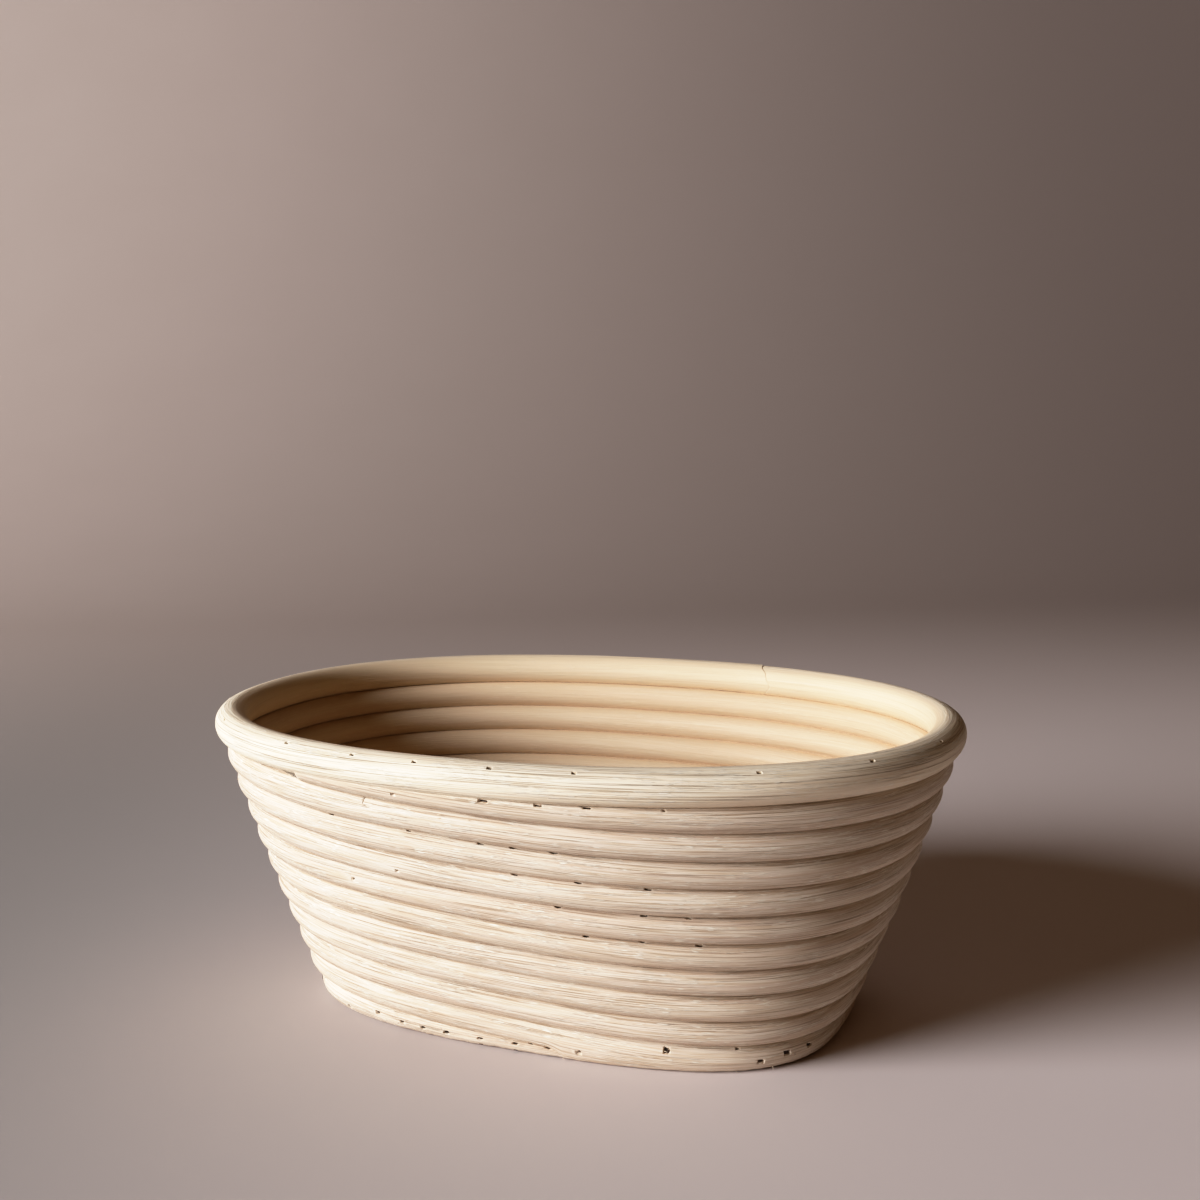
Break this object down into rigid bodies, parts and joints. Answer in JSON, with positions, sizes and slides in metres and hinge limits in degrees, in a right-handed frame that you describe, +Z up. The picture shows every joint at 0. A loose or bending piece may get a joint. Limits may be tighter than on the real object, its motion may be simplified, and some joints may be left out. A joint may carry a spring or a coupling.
{
  "type": "proofing basket",
  "caption": "Oval proofing basket of wound peeled rattan cane with flared ribbed walls, a thick nailed rim and a floor of straight rods, for shaping bread dough as it rises.",
  "frame": {"origin": "on the table, under the middle of the oval rim", "axes": "+X along the basket's length, +Y towards the back (the wall climbs along the -Y front), +Z up out of the mouth"},
  "size_m": [0.208, 0.1444, 0.0817],
  "materials": {
    "rim": "bare peeled rattan, matt, fine lengthwise grain",
    "wall": "bare peeled rattan, matt, fine lengthwise grain",
    "floor": "bare peeled rattan, matt, slightly smoother and more tan",
    "brads": "dark bare steel, sunk in the cane"
  },
  "bodies": {
    "root": {"rim_cane": "rim", "wall_cane_lower": "wall", "wall_cane_middle": "wall", "wall_cane_top": "wall", "floor_rod_01": "floor", "floor_rod_02": "floor", "floor_rod_03": "floor", "floor_rod_04": "floor", "floor_rod_05": "floor", "floor_rod_06": "floor", "floor_rod_07": "floor", "floor_rod_08": "floor", "floor_rod_09": "floor", "floor_rod_10": "floor", "rim_brad_01": "brads", "rim_brad_02": "brads", "rim_brad_03": "brads", "rim_brad_04": "brads", "rim_brad_05": "brads", "rim_brad_06": "brads", "rim_brad_07": "brads", "rim_brad_08": "brads", "rim_brad_09": "brads", "rim_brad_10": "brads", "rim_brad_11": "brads", "rim_brad_12": "brads", "rim_brad_13": "brads", "rim_brad_14": "brads", "wall_brad_01": "brads", "wall_brad_02": "brads", "wall_brad_03": "brads", "wall_brad_04": "brads", "wall_brad_05": "brads", "wall_brad_06": "brads", "wall_brad_07": "brads", "wall_brad_08": "brads", "wall_brad_09": "brads", "wall_brad_10": "brads", "wall_brad_11": "brads", "floor_brad_01": "brads", "floor_brad_02": "brads", "floor_brad_03": "brads", "floor_brad_04": "brads", "floor_brad_05": "brads", "floor_brad_06": "brads", "floor_brad_07": "brads", "floor_brad_08": "brads", "floor_brad_09": "brads", "floor_brad_10": "brads", "floor_brad_11": "brads", "floor_brad_12": "brads", "floor_brad_13": "brads", "floor_brad_14": "brads", "floor_brad_15": "brads", "floor_brad_16": "brads", "floor_brad_17": "brads", "floor_brad_18": "brads", "floor_brad_19": "brads", "floor_brad_20": "brads"}
  },
  "joints": []
}
